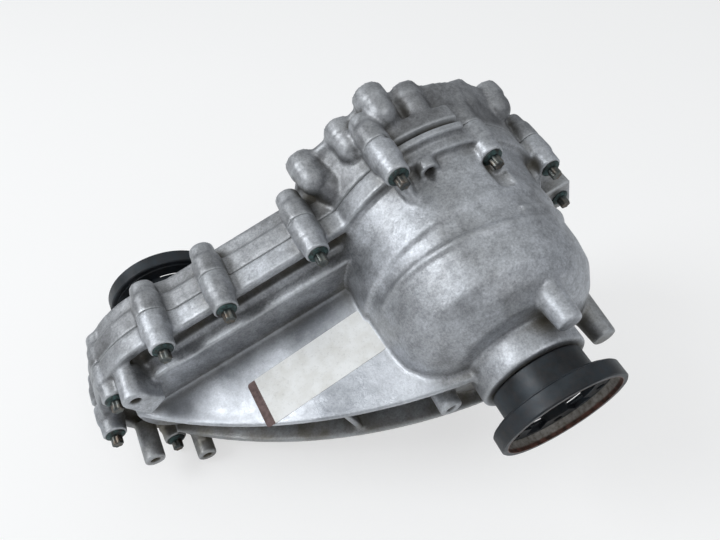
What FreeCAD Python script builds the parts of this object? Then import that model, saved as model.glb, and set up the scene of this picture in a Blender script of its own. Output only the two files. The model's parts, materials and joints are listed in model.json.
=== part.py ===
import FreeCAD, Part
import math
import os
import re
import Sketcher

# Full-time all-wheel-drive transfer case with a planetary centre differential and a
# silent chain to the front output.
#
# Casing frame: the main axis is Y and +Y points forward to the transmission. The front
# output axis lies parallel to it on the -X side and +Z is the casing's flat side. The
# origin is the centre of the transmission mounting face. "Depth" is the distance behind
# that face, so a point at depth d has y = -d. Every finished piece is turned about Y by
# the lie angle, because the front output sits lower than the main axis.

os.makedirs("parts", exist_ok=True)
doc = FreeCAD.newDocument("transfer_case")
dims = doc.addObject("Spreadsheet::Sheet", "dims")

# ---------------------------------------------------------------- driving dimensions
SIZES = [
    ("lie_angle", -20, "front output drops below the main axis by this angle"),
    # chain drive sets the distance between the two axes
    ("chain_pitch", 9.525, "3/8 inch silent chain"),
    ("chain_links", 86, "links in the loop"),
    ("sprocket_teeth", 33, "both sprockets"),
    ("chain_width", 26, "across the link plates"),
    ("chain_back", 5, "link height outside the pitch line"),
    ("chain_tooth", 3.6, "link tooth height inside the pitch line"),
    # casing outline
    ("split_depth", 50, "joint plane of the two casing halves"),
    ("rim_thickness", 19, "clamping rim of each half"),
    ("end_radius", 88, "rim around the front output"),
    ("waist_height", 82, "rim half height between the axes"),
    ("main_radius", 106, "rim around the main axis"),
    ("crest_radius", 114, "taller stretch of the rim over the dome"),
    ("crest_start", 62, "where that stretch starts, degrees"),
    ("crest_angle", 42, "how far it runs, degrees"),
    ("wall", 6, "cast wall"),
    ("rim_land", 9, "width of the rim's raised edge"),
    ("rim_floor", 9, "thickness of the recessed rim inside its edge"),
    ("cover_depth", 14, "front wall of the chain space"),
    ("housing_depth", 83, "rear wall of the chain space"),
    ("housing_radius", 60, "raised rear wall around the front output"),
    ("housing_height", 58, "half height of the raised rear wall"),
    # dome around the differential
    ("dome_step", 2.5, "radius lost at the dome's step"),
    ("dome_step_depth", 118, "where the step lies"),
    ("shoulder_depth", 157, "where the dome starts to close"),
    ("shoulder_radius", 45, "rounding of the dome's shoulder"),
    ("nose_radius", 46, "bearing noses of both outputs"),
    # flat webs beside the dome
    ("web_height", 20, "upper face of the label web"),
    ("lower_web_height", -50, "lower face of the lower web"),
    ("web_thickness", 5, "both webs and the rib between them"),
    ("web_tip", 309, "webs start this far from the main axis"),
    ("web_arc_radius", 549, "curved free edge"),
    ("web_end", 43, "curved edge meets the dome, across"),
    ("web_end_depth", 211, "curved edge meets the dome, depth"),
    ("rib_offset", 148, "rib between the webs"),
    ("web_rib_depth", 176, "rear edge of that rib"),
    # case bolts
    ("bolt_radius", 4, "M8 shank"),
    ("bolt_clearance", 0.35, "hole clearance in the rear half"),
    ("thread_gap", 0.05, "shown gap at a thread"),
    ("bolt_reach", 61, "shank length"),
    ("bolt_flange_radius", 8.5, "flange under the head"),
    ("bolt_flange_height", 2.4, "flange thickness"),
    ("bolt_head_radius", 4.9, "external hexalobular head"),
    ("bolt_head_notch", 4.1, "hollow of the head"),
    ("bolt_head_height", 8.5, "head above its flange"),
    ("boss_radius", 10.5, "bolt boss"),
    ("relief_radius", 10, "room for a socket behind each bolt seat"),
    ("relief_length", 28, "length of that room"),
    ("boss_taper", 1.2, "boss growth towards the rim"),
    ("lobe_radius", 12.5, "rim lobe around a bolt"),
    ("dowel_radius", 6, "dowel sleeve"),
    ("dowel_length", 12, "dowel sleeve"),
    ("dowel_gap", 0.05, "sleeve in its counterbore"),
    # transmission flange
    ("flange_thickness", 14, "scalloped mounting flange"),
    ("flange_radius", 108, "valleys of the scalloped flange"),
    ("register_radius", 95, "bore that locates the transmission"),
    ("register_depth", 4, "length of that bore"),
    ("bell_radius", 96, "recess behind the register"),
    ("flange_lobe", 14, "lobe around each mounting hole"),
    ("mount_hole", 4.3, "tapped hole for M10, minor radius"),
    ("mount_hole_depth", 26, "tapped hole depth"),
    ("mount_boss", 12, "blind boss behind each lobe"),
    ("mount_boss_end", 24, "blind boss, start of its tapered end"),
    ("mount_boss_dome", 8.6, "blind boss, length of that end"),
    # bearing in the bulkhead
    ("bulkhead_boss", 49, "boss that carries the drive bearing"),
    ("bulkhead_front", 8, "front face of that boss"),
    ("drive_bearing_front", 21, "drive bearing, front face"),
    ("drive_bearing_width", 14, "drive bearing"),
    ("drive_bearing_outer", 42, "drive bearing"),
    ("drive_journal", 26, "hollow shaft of the sun gear"),
    ("input_seal_radius", 30, "seal in the bulkhead"),
    ("input_seal_width", 10, "seal in the bulkhead"),
    # output bearings, seals and flanges, the same at both ends
    ("bearing_bore", 20, "output shaft journal"),
    ("bearing_outer", 40, "output bearing"),
    ("bearing_width", 18, "output bearing"),
    ("ring_wall", 5.5, "bearing ring"),
    ("roller_play", 0.05, "rollers between their rings"),
    ("roller_count", 9, "rollers in each bearing"),
    ("seal_zone", 11, "bearing to the end of the nose"),
    ("seal_radius", 35, "output seal"),
    ("seal_width", 8.5, "output seal"),
    ("flange_gap", 1.4, "nose to flange drum"),
    ("rear_face_depth", 264.4, "outer face of the rear flange"),
    ("front_face_height", 38.6, "outer face of the front flange, ahead of the mounting face"),
    ("output_rim_radius", 55, "output flange"),
    ("output_rim_width", 13.7, "output flange"),
    ("output_rim_wall", 5, "output flange"),
    ("drum_radius", 39.5, "flange drum"),
    ("drum_wall", 4.5, "flange drum"),
    ("drum_length", 37, "outer face to the end of the drum"),
    ("drum_floor", 7, "floor of the drum"),
    ("output_web", 3.7, "web between drum and rim"),
    ("sleeve_radius", 24, "sleeve that the seal runs on"),
    ("spline_radius", 16, "shaft end inside the sleeve"),
    ("thread_radius", 12, "shaft thread under the nut"),
    ("nut_radius", 18.5, "flange nut across corners"),
    ("nut_height", 12, "flange nut"),
    ("window_count", 6, "windows of the flange"),
    ("window_width", 16, "window"),
    ("window_depth", 16, "window reaches this far from the face"),
    ("output_hole_radius", 4.1, "bolt holes of the flange"),
    ("output_hole_circle", 45, "their circle radius"),
    # centre differential
    ("gear_module", 2.5, "tooth size"),
    ("sun_teeth", 30, "sun gear"),
    ("planet_teeth", 12, "each planet gear"),
    ("planet_count", 4, "planet gears"),
    ("gear_front", 118, "front face of the planet gears"),
    ("gear_width", 22, "planet gears"),
    ("ring_margin", 2, "ring and sun gears are wider on each side"),
    ("carrier_radius", 61, "carrier plates"),
    ("carrier_plate", 6, "carrier plate thickness"),
    ("side_play", 1, "planet to carrier plate"),
    ("pillar_radius", 6.5, "carrier pillars"),
    ("pin_radius", 5, "planet pins"),
    ("bush_wall", 1.4, "bushes on pins and shafts"),
    ("running_gap", 0.04, "radial gap of running fits"),
    ("input_radius", 16, "input shaft"),
    ("input_bore", 11, "socket for the transmission shaft"),
    ("input_bore_depth", 44, "socket length"),
    ("input_front", 5, "front end of the input shaft"),
    ("pilot_radius", 10, "pilot at the input shaft's rear end"),
    ("pilot_length", 16, "pilot"),
    ("ring_body", 8, "ring gear body outside its pitch line"),
    ("hub_wall", 4, "drum that carries the ring gear"),
    ("hub_disc", 7, "disc of that drum"),
    ("tail_bearing_outer", 26, "rear bearing of the front output shaft"),
    ("tail_bearing_width", 12, "rear bearing of the front output shaft"),
    ("tail_journal", 17, "front output shaft, rear journal"),
    ("tail_ring", 3, "outer ring of the tail bearing"),
]

# Sizes that follow from the driving ones.
RULES = {
    "shaft_distance": "(chain_links - sprocket_teeth) * chain_pitch / 2",
    "rear_nose_end": "rear_face_depth - drum_length - flange_gap",
    "front_nose_end": "drum_length + flange_gap - front_face_height",
    "rear_bearing_back": "rear_nose_end - seal_zone",
    "rear_bearing_front": "rear_bearing_back - bearing_width",
    "front_bearing_front": "front_nose_end + seal_zone",
    "front_bearing_back": "front_bearing_front + bearing_width",
    "rim_back": "split_depth + rim_thickness",
    "chain_depth": "split_depth - chain_width / 2",
    "dome_root": "main_radius - 5",
    "dome_radius": "main_radius - 11",
    "rim_front": "split_depth - rim_thickness",
    "chain_front": "cover_depth + wall",
    "chain_rear": "housing_depth - wall",
    "bolt_seat": "housing_depth",
    "sun_pitch": "gear_module * sun_teeth / 2",
    "planet_pitch": "gear_module * planet_teeth / 2",
    "planet_orbit": "sun_pitch + planet_pitch",
    "ring_pitch": "sun_pitch + 2 * planet_pitch",
    "ring_outer": "ring_pitch + ring_body",
    "gear_back": "gear_front + gear_width",
    "carrier_front": "gear_front - side_play - carrier_plate",
    "carrier_back": "gear_back + side_play + carrier_plate",
    "hub_front": "carrier_back + side_play",
    "hub_back": "hub_front + hub_disc",
    "tail_bearing_front": "chain_rear - tail_bearing_width",
    "chain_room": "sprocket_teeth * chain_pitch / 2 / pi + chain_back + 2",
    "chain_end": "chain_depth + chain_width",
}

for row, (alias, size, note) in enumerate(SIZES, start=1):
    dims.set("A%d" % row, alias)
    dims.set("B%d" % row, str(size))
    dims.set("C%d" % row, note)
    dims.setAlias("B%d" % row, alias)
doc.recompute()

ALIASES = {alias for alias, size, note in SIZES}


def expr(text):
    """Write the words of a size rule as references to the sheet."""
    def reference(match):
        word = match.group(0)
        if word in RULES:
            return "(" + expr(RULES[word]) + ")"
        if word in ALIASES:
            return "dims." + word
        return word
    return re.sub(r"[a-z_]+", reference, str(text))


def number(text):
    """Value of a size rule."""
    return float(dims.evalExpression(expr(text)))


LIE = FreeCAD.Placement(FreeCAD.Vector(), FreeCAD.Rotation(FreeCAD.Vector(0, 1, 0), number("lie_angle")))
REARWARD = FreeCAD.Rotation(FreeCAD.Vector(1, 0, 0), 90)
AXES = {"main": "0", "front": "-(shaft_distance)"}
finished = []


def bind(piece, **sizes):
    """Tie properties of a piece to the sheet."""
    for name, rule in sizes.items():
        piece.setExpression(name, expr(rule))
    return piece


def put(piece, across, depth, height):
    """Place a piece whose own Z axis runs rearwards."""
    piece.Placement = FreeCAD.Placement(FreeCAD.Vector(), REARWARD)
    piece.setExpression("Placement.Base.x", expr(across))
    piece.setExpression("Placement.Base.y", expr("-(%s)" % depth))
    piece.setExpression("Placement.Base.z", expr(height))
    return piece


def finish(piece, name):
    """Name a sub-part and turn it to its lie."""
    piece.Label = name
    piece.Placement = LIE.multiply(piece.Placement)
    finished.append(piece)
    return piece


# ---------------------------------------------------------------- form helpers
def rod(name, radius, front, back, across="0", height="0"):
    """Cylinder along the axis between two depths."""
    piece = doc.addObject("Part::Cylinder", name)
    bind(piece, Radius=radius, Height="(%s) - (%s)" % (back, front))
    return put(piece, across, front, height)


def taper(name, front_radius, back_radius, front, back, across="0", height="0"):
    """Cone along the axis between two depths."""
    piece = doc.addObject("Part::Cone", name)
    bind(piece, Radius1=front_radius, Radius2=back_radius, Height="(%s) - (%s)" % (back, front))
    return put(piece, across, front, height)


def block(name, across, front, back, low, high, half_width):
    """Box of a given half width around a place across the case."""
    piece = doc.addObject("Part::Box", name)
    bind(piece, Length="2 * (%s)" % half_width, Width="(%s) - (%s)" % (high, low),
         Height="(%s) - (%s)" % (back, front))
    return put(piece, "(%s) - (%s)" % (across, half_width), front, low)


def radial_block(name, angle, inside, outside, width, front, back):
    """Box that runs outwards from the main axis at an angle in degrees."""
    piece = doc.addObject("Part::Box", name)
    bind(piece, Length="(%s) - (%s)" % (outside, inside), Width=width, Height="(%s) - (%s)" % (back, front))
    turn = REARWARD.multiply(FreeCAD.Rotation(FreeCAD.Vector(0, 0, 1), number(angle)))
    start = turn.multVec(FreeCAD.Vector(number(inside), -number(width) / 2, number(front)))
    piece.Placement = FreeCAD.Placement(start, turn)
    return piece


def fuse(name, pieces):
    joined = doc.addObject("Part::MultiFuse", name)
    joined.Shapes = pieces
    return joined


def cut(name, base, tool):
    rest = doc.addObject("Part::Cut", name)
    rest.Base = base
    rest.Tool = tool
    return rest


def draw(sketch, corners):
    """Closed outline whose corners and arc radii follow the sheet.

    A corner is (across, up) and ends a straight side; (across, up, radius, centre) ends an
    arc, whose centre is only the starting guess of the solver.
    """
    places = [FreeCAD.Vector(number(corner[0]), number(corner[1]), 0) for corner in corners]
    joints = []
    for index, corner in enumerate(corners):
        start = places[index - 1]
        end = places[index]
        if len(corner) == 2:
            side = sketch.addGeometry(Part.LineSegment(start, end), False)
            joints.append((side, 1, side, 2))
            continue
        middle = FreeCAD.Vector(number(corner[3][0]), number(corner[3][1]), 0)
        first = math.atan2(start.y - middle.y, start.x - middle.x)
        last = math.atan2(end.y - middle.y, end.x - middle.x)
        turn = (last - first) % (2 * math.pi)
        clockwise = turn > math.pi + 1e-6 and corner[3][2] != "long" or corner[3][2] == "clockwise"
        circle = Part.Circle(middle, FreeCAD.Vector(0, 0, 1), number(corner[2]))
        arc = Part.ArcOfCircle(circle, last, first) if clockwise else Part.ArcOfCircle(circle, first, last)
        side = sketch.addGeometry(arc, False)
        joints.append((side, 2, side, 1) if clockwise else (side, 1, side, 2))
        radius = sketch.addConstraint(Sketcher.Constraint("Radius", side, number(corner[2])))
        sketch.setExpression("Constraints[%d]" % radius, expr(corner[2]))
    for index, corner in enumerate(corners):
        side, point = joints[index][2:]
        following = joints[(index + 1) % len(joints)]
        sketch.addConstraint(Sketcher.Constraint("Coincident", side, point, following[0], following[1]))
        for kind, rule in (("DistanceX", corner[0]), ("DistanceY", corner[1])):
            size = number(rule)
            place = sketch.addConstraint(Sketcher.Constraint(kind, -1, 1, side, point, size))
            sketch.setExpression("Constraints[%d]" % place, expr(rule))
    return sketch


def plate(name, corners, front, back):
    """Outline across the axis, given a thickness between two depths."""
    sketch = doc.addObject("Sketcher::SketchObject", name + "_outline")
    draw(sketch, corners)
    put(sketch, "0", front, "0")
    piece = doc.addObject("Part::Extrusion", name)
    piece.Base = sketch
    piece.DirMode = "Normal"
    piece.Solid = True
    return bind(piece, LengthFwd="(%s) - (%s)" % (back, front))


def plane_of(body, role):
    return [plane for plane in body.Origin.OriginFeatures if plane.Role == role][0]


def turned(name, corners, axis="main"):
    """Turned piece as a body of its own: a (radius, depth) profile revolved about its axis."""
    body = doc.addObject("PartDesign::Body", name)
    sketch = body.newObject("Sketcher::SketchObject", name + "_profile")
    sketch.AttachmentSupport = (plane_of(body, "XY_Plane"), [""])
    sketch.MapMode = "FlatFace"
    draw(sketch, [(corner[0], "-(%s)" % corner[1]) for corner in corners])
    turn = body.newObject("PartDesign::Revolution", name + "_turn")
    turn.Profile = sketch
    turn.ReferenceAxis = (sketch, ["V_Axis"])
    turn.Angle = 360
    body.Placement = FreeCAD.Placement(FreeCAD.Vector(number(AXES[axis]), 0, 0), FreeCAD.Rotation())
    return body


def ring(name, inner, outer, front, back, axis="main"):
    """Plain ring between two depths."""
    return turned(name, [(outer, front), (outer, back), (inner, back), (inner, front)], axis)


def shape_part(name, shape, axis="main"):
    """Sub-part whose shape is set from Part's own functions."""
    piece = doc.addObject("Part::Feature", name)
    piece.Shape = shape
    to_axis = FreeCAD.Placement(FreeCAD.Vector(number(AXES[axis]), 0, 0), FreeCAD.Rotation())
    piece.Placement = to_axis.multiply(shape.Placement)
    return finish(piece, name)


def prism(corners, front, back):
    """Solid from (across, height) corners between two depths."""
    points = [FreeCAD.Vector(across, -front, height) for across, height in corners]
    face = Part.Face(Part.makePolygon(points + points[:1]))
    return face.extrude(FreeCAD.Vector(0, front - back, 0))


def pillar(radius, front, back, across=0.0, height=0.0):
    """Cylinder between two depths, as a plain shape."""
    return Part.makeCylinder(radius, back - front, FreeCAD.Vector(across, -front, height),
                             FreeCAD.Vector(0, -1, 0))


def polar(radius, angle):
    """Point at an angle in degrees around the axis."""
    return radius * math.cos(math.radians(angle)), radius * math.sin(math.radians(angle))


# ---------------------------------------------------------------- casing
def case_outline(name, end, waist, main, front, back):
    """Chain-case shape: an arc round each axis, joined by two straight sides."""
    end_corner = "-(shaft_distance) + sqrt((%s)^2 - (%s)^2)" % (end, waist)
    main_corner = "-(sqrt((%s)^2 - (%s)^2))" % (main, waist)
    low = "-(%s)" % waist
    corners = [
        (end_corner, waist),
        (end_corner, low, end, ("-(shaft_distance)", "0", "long")),
        (main_corner, low),
        (main_corner, waist, main, ("0", "0", "long")),
    ]
    return plate(name, corners, front, back)


SHOULDER_BANDS = 4

# Case bolts: (across, height) from the main axis.
CASE_BOLTS = [
    (-239, 88), (-180, 89), (-96, 89.5), (-15, 121), (60.5, 78), (113, 15),
    (122, -42), (71, -90), (0, -118), (-96, -89.5), (-180, -89), (-239, -88),
    (-318, -58), (-337.5, 12), (-302, 61),
]
DOWEL_BOLTS = [(-180, 89), (0, -118)]

# Tapped holes of the transmission flange: (angle, distance beyond the flange's valleys).
MOUNT_HOLES = [
    (126, 12), (106, 3), (89, 14), (74, -1), (45, -6), (26, 4), (-2, 4),
    (-15, 4), (-40, -2), (-64, 2), (-90, 0), (-116, 4), (-140, 4), (150, 0),
]


def bolt_bosses(name, front, back, wide_end_first):
    """Tapered bosses around every case bolt."""
    wide = "boss_radius + boss_taper"
    radii = (wide, "boss_radius") if wide_end_first else ("boss_radius", wide)
    return [taper("%s_%d" % (name, index), radii[0], radii[1], front, back, str(across), str(height))
            for index, (across, height) in enumerate(CASE_BOLTS, start=1)]


def crest(name, front, back):
    """Taller stretch of the rim between the two bolts over the dome."""
    piece = rod(name, "crest_radius", front, back)
    bind(piece, Angle="crest_angle")
    start = FreeCAD.Rotation(FreeCAD.Vector(0, 0, 1), number("crest_start"))
    piece.Placement = FreeCAD.Placement(piece.Placement.Base, REARWARD.multiply(start))
    return piece


def rim_lobes(name, front, back):
    return [rod("%s_%d" % (name, index), "lobe_radius", front, back, str(across), str(height))
            for index, (across, height) in enumerate(CASE_BOLTS, start=1)]


def bolt_holes(name, radius, front, back, places=CASE_BOLTS):
    return [rod("%s_%d" % (name, index), radius, front, back, str(across), str(height))
            for index, (across, height) in enumerate(places, start=1)]


def gusset():
    """Three-cornered foot that carries the end boss on the housing, level with its face."""
    return plate("end_gusset", [("-273", "70"), ("-266", "48"), ("-289", "36"), ("-293", "66")],
                 "rim_back - 8", "99.4")


def web(name, low, high):
    """Flat web from the rear wall to the dome with a curved free edge."""
    sketch = doc.addObject("Sketcher::SketchObject", name + "_outline")
    centre = ("web_arc_radius * 0.1", "web_arc_radius * 0.6", "anticlockwise")
    draw(sketch, [
        ("-web_end", "-(rim_back)"),
        ("-web_tip", "-(rim_back)"),
        ("-web_tip", "-housing_depth"),
        ("-web_end", "-web_end_depth", "web_arc_radius", centre),
    ])
    piece = doc.addObject("Part::Extrusion", name)
    piece.Base = sketch
    piece.DirMode = "Normal"
    piece.Solid = True
    bind(piece, LengthFwd="(%s) - (%s)" % (high, low))
    sketch.setExpression("Placement.Base.z", expr(low))
    return piece


def shoulder(name, rounding):
    """Quarter-round end of the dome in tapered bands, from its wall to the nose."""
    bands = []
    for band in range(SHOULDER_BANDS):
        start = 90 * band / SHOULDER_BANDS
        end = 90 * (band + 1) / SHOULDER_BANDS
        bands.append(taper("%s_band_%d" % (name, band + 1),
                           "shoulder_radius + (%s) * cos(%g deg)" % (rounding, start),
                           "shoulder_radius + (%s) * cos(%g deg)" % (rounding, end),
                           "shoulder_depth + (%s) * sin(%g deg)" % (rounding, start),
                           "shoulder_depth + (%s) * sin(%g deg)" % (rounding, end)))
    return bands


def rear_case():
    """Rear half: rim, raised chain housing, dome, webs, bosses and bearing seats."""
    outer = [
        case_outline("rear_rim", "end_radius", "waist_height", "main_radius",
                     "split_depth", "split_depth + rim_floor"),
        cut("rear_lip", case_outline("lip_outside", "end_radius", "waist_height", "main_radius",
                                     "split_depth", "rim_back"),
            case_outline("lip_inside", "end_radius - rim_land", "waist_height - rim_land", "main_radius - rim_land",
                         "split_depth - 1", "rim_back + 1")),
        case_outline("housing_foot", "chain_room + wall", "chain_room + wall - 1", "dome_radius",
                     "split_depth", "rim_back"),
        case_outline("rear_housing", "housing_radius", "housing_height", "dome_radius",
                     "split_depth", "housing_depth"),
        taper("dome_skirt", "dome_root", "dome_radius", "split_depth", "rim_back + 24"),
        rod("dome_wall", "dome_radius", "rim_back + 24", "dome_step_depth"),
        taper("dome_upper", "dome_radius - dome_step", "2 * shoulder_radius", "dome_step_depth", "shoulder_depth"),
        rod("rear_nose", "nose_radius", "shoulder_depth", "rear_nose_end"),
        web("label_web", "web_height - web_thickness", "web_height"),
        web("lower_web", "lower_web_height", "lower_web_height + web_thickness"),
        block("web_rib", "-rib_offset", "rim_back", "web_rib_depth", "lower_web_height + 1",
              "web_height - 1", "web_thickness / 2"),
        # plain bosses that face rearwards
        rod("end_boss", "11", "rim_back", "99.4", "-282", "68"),
        rod("low_end_boss", "9.5", "rim_back", "109.4", "-326", "-22"),
        rod("under_boss", "9", "rim_back", "116.4", "-293", "-58"),
        rod("nose_boss", "10", "150", "212.4", "-70", "-12"),
        rod("vent_boss", "8.5", "rim_back", "79.4", "10", "99"),
        taper("upper_rib_boss", "17", "10", "150", "222.4", "34", "53"),
        taper("side_rib_boss", "15", "10.5", "150", "222.4", "68", "-29"),
        gusset(),
        block("square_boss", "114", "split_depth", "bolt_seat", "-60", "-24", "20"),
    ]
    outer += shoulder("shoulder", "shoulder_radius")
    outer.append(crest("rear_crest", "split_depth", "split_depth + rim_floor"))
    outer += rim_lobes("rear_lobe", "split_depth", "rim_back")
    outer += bolt_bosses("rear_boss", "split_depth", "bolt_seat", True)
    inner = [
        case_outline("rear_space", "chain_room", "chain_room - 1", "dome_root - wall",
                     "split_depth - 1", "rim_back - wall"),
        case_outline("housing_space", "housing_radius - wall", "housing_height - wall", "dome_radius - wall",
                     "split_depth", "chain_rear"),
        rod("dome_space", "2 * shoulder_radius - wall", "split_depth - 1", "shoulder_depth"),
        rod("rear_bearing_seat", "bearing_outer", "shoulder_depth", "rear_bearing_back"),
        rod("rear_seal_seat", "seal_radius", "rear_bearing_back - 1", "rear_nose_end + 1"),
    ]
    inner += shoulder("shoulder_space", "shoulder_radius - wall")
    shell = cut("rear_shell", fuse("rear_outside", outer), fuse("rear_inside", inner))
    seat = cut("tail_seat", rod("tail_boss", "tail_bearing_outer + wall", "tail_bearing_front", "housing_depth - 1",
                                "-(shaft_distance)"),
               rod("tail_bore", "tail_bearing_outer", "tail_bearing_front - 1", "chain_rear", "-(shaft_distance)"))
    pad = [rod("bolt_core_%d" % index, "boss_radius - 1", "split_depth", "rim_back", str(across), str(height))
           for index, (across, height) in enumerate(CASE_BOLTS, start=1)]
    holes = bolt_holes("clear_hole", "bolt_radius + bolt_clearance", "split_depth - 1", "bolt_seat + 1")
    holes += bolt_holes("socket_room", "relief_radius", "bolt_seat", "bolt_seat + relief_length")
    holes += bolt_holes("rear_dowel_hole", "dowel_radius + dowel_gap", "split_depth - 1",
                        "split_depth + dowel_length / 2", DOWEL_BOLTS)
    holes += [
        rod("end_boss_hole", "4.3", "79.4", "105", "-282", "68"),
        rod("low_end_hole", "4.3", "89.4", "115", "-326", "-22"),
        rod("under_hole", "4.3", "96.4", "120", "-293", "-58"),
        rod("nose_hole", "4.3", "192.4", "215", "-70", "-12"),
        rod("vent_hole", "4.3", "64.4", "85", "10", "99"),
    ]
    body = cut("rear_case_body", fuse("rear_with_seats", [shell, seat] + pad), fuse("rear_holes", holes))
    return finish(body, "rear_case")


def front_case():
    """Front half: chain cover, front output nose, bulkhead and scalloped mounting flange."""
    lobes = []
    for index, (angle, beyond) in enumerate(MOUNT_HOLES, start=1):
        distance = number("flange_radius") + beyond
        across, height = polar(distance, angle)
        place = ("%r" % across, "%r" % height)
        lobes.append(rod("flange_lobe_%d" % index, "flange_lobe", "0", "flange_thickness", *place))
        lobes.append(rod("blind_boss_%d" % index, "mount_boss", "flange_thickness - 1", "mount_boss_end", *place))
        lobes.append(taper("blind_end_%d" % index, "mount_boss", "mount_boss / 2", "mount_boss_end",
                           "mount_boss_end + mount_boss_dome", *place))
        lobes.append(radial_block("lobe_neck_%d" % index, str(angle), "bell_radius + 4", str(distance),
                                  "2 * flange_lobe - 3", "0", "flange_thickness"))
    beside_chain = place
    outer = [
        case_outline("front_rim", "end_radius", "waist_height", "main_radius", "rim_front", "split_depth"),
        case_outline("front_cover", "end_radius - 5", "waist_height - 5", "main_radius - 5",
                     "cover_depth", "rim_front"),
        rod("mounting_flange", "flange_radius", "0", "flange_thickness"),
        taper("flange_neck", "flange_radius", "main_radius", "flange_thickness", "rim_front + 2"),
        block("front_square_boss", "114", "rim_front", "split_depth", "-60", "-24", "20"),
        rod("front_nose", "nose_radius", "front_nose_end", "front_bearing_back + 1", "-(shaft_distance)"),
    ]
    outer += lobes
    outer.append(crest("front_crest", "rim_front", "split_depth"))
    outer += rim_lobes("front_lobe", "rim_front", "split_depth")
    outer += bolt_bosses("front_boss", "bolt_seat - bolt_reach - 5", "split_depth", False)
    inner = [
        case_outline("cover_space", "end_radius - wall - 4", "waist_height - wall - 4", "main_radius - wall - 6",
                     "chain_front", "split_depth + 1"),
        rod("register", "register_radius", "-1", "register_depth"),
        rod("bell_space", "bell_radius", "register_depth", "cover_depth"),
    ]
    shell = cut("front_shell", fuse("front_outside", outer), fuse("front_inside", inner))
    solid = [
        shell,
        rod("bulkhead", "bulkhead_boss", "bulkhead_front", "drive_bearing_front + drive_bearing_width + 1"),
        rod("nose_seat", "nose_radius", "cover_depth", "front_bearing_back + 1", "-(shaft_distance)"),
        rod("fill_boss", "15", "cover_depth - 4", "chain_front", "-150", "32"),
        rod("drain_boss", "15", "cover_depth - 4", "chain_front", "-150", "-56"),
        rod("blind_boss_in_chain_space", "mount_boss", "chain_front - 1", "mount_boss_end + wall", *beside_chain),
    ]
    solid += [radial_block("bulkhead_rib_%d" % index, str(60 * index + 30), "bulkhead_boss - 2", "bell_radius + 2",
                           "wall", "register_depth + 1", "cover_depth + 1") for index in range(6)]
    solid += [rod("thread_core_%d" % index, "boss_radius - 1", "bolt_seat - bolt_reach - 5", "split_depth",
                  str(across), str(height)) for index, (across, height) in enumerate(CASE_BOLTS, start=1)]
    holes = bolt_holes("tapped_hole", "bolt_radius + thread_gap", "bolt_seat - bolt_reach - 2", "split_depth + 1")
    holes += bolt_holes("front_dowel_hole", "dowel_radius + dowel_gap", "split_depth - dowel_length / 2",
                        "split_depth + 1", DOWEL_BOLTS)
    for index, (angle, beyond) in enumerate(MOUNT_HOLES, start=1):
        distance = number("flange_radius") + beyond
        across, height = polar(distance, angle)
        holes.append(rod("mount_hole_%d" % index, "mount_hole", "-1", "mount_hole_depth",
                         "%r" % across, "%r" % height))
    holes += [
        rod("input_seal_seat", "input_seal_radius", "bulkhead_front - 1", "drive_bearing_front + 1"),
        rod("drive_bearing_seat", "drive_bearing_outer", "drive_bearing_front",
            "drive_bearing_front + drive_bearing_width + 2"),
        rod("front_seal_seat", "seal_radius", "front_nose_end - 1", "front_bearing_front + 1",
            "-(shaft_distance)"),
        rod("front_bearing_seat", "bearing_outer", "front_bearing_front", "front_bearing_back + 2",
            "-(shaft_distance)"),
        rod("fill_hole", "9 + thread_gap", "cover_depth - 5", "chain_front + 1", "-150", "32"),
        rod("drain_hole", "9 + thread_gap", "cover_depth - 5", "chain_front + 1", "-150", "-56"),
    ]
    body = cut("front_case_body", fuse("front_with_seats", solid), fuse("front_holes", holes))
    return finish(body, "front_case")


# ---------------------------------------------------------------- fasteners
def lobed_head(front, back):
    """External hexalobular head as a twelve-cornered prism."""
    corners = []
    for corner in range(12):
        radius = number("bolt_head_radius") if corner % 2 == 0 else number("bolt_head_notch")
        corners.append(polar(radius, 30 * corner))
    return prism(corners, front, back)


def case_bolts():
    """One bolt shape, repeated at every bolt place as separate solids."""
    seat = number("bolt_seat")
    flange_back = seat + number("bolt_flange_height")
    shank = pillar(number("bolt_radius"), seat - number("bolt_reach"), seat)
    collar = pillar(number("bolt_flange_radius"), seat, flange_back)
    head = lobed_head(flange_back, flange_back + number("bolt_head_height"))
    bolt = shank.fuse([collar, head]).removeSplitter().Solids[0]
    bolts = []
    for across, height in CASE_BOLTS:
        copy = bolt.copy()
        copy.translate(FreeCAD.Vector(across, 0, height))
        bolts.append(copy)
    return shape_part("case_bolts", Part.makeCompound(bolts))


def dowel_sleeves():
    sleeves = []
    for across, height in DOWEL_BOLTS:
        front = number("split_depth - dowel_length / 2 + 0.3")
        back = number("split_depth + dowel_length / 2 - 0.3")
        outer = pillar(number("dowel_radius"), front, back, across, height)
        sleeves.append(outer.cut(pillar(number("bolt_radius + bolt_clearance"), front - 1, back + 1, across, height)))
    return shape_part("dowel_sleeves", Part.makeCompound(sleeves))


def casing_plug(name, height):
    """Screw plug with a hexagon socket in the chain cover."""
    face = number("cover_depth - 4")
    thread = pillar(9, face, number("chain_front") + 1, -150, height)
    head = pillar(12.5, face - 6, face, -150, height)
    corners = [(-150 + across, height + up) for across, up in (polar(5.8, 60 * side) for side in range(6))]
    socket = prism(corners, face - 7, face)
    return shape_part(name, thread.fuse(head).removeSplitter().cut(socket))


# ---------------------------------------------------------------- gears and chain
def teeth_outline(count, root, tip, root_half, tip_half, phase):
    """Corners of a toothed wheel; half widths are shares of the tooth pitch."""
    pitch = 360.0 / count
    corners = []
    for tooth in range(count):
        middle = phase + tooth * pitch
        corners.append(polar(root, middle - root_half * pitch))
        corners.append(polar(tip, middle - tip_half * pitch))
        corners.append(polar(tip, middle + tip_half * pitch))
        corners.append(polar(root, middle + root_half * pitch))
    return corners


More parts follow.
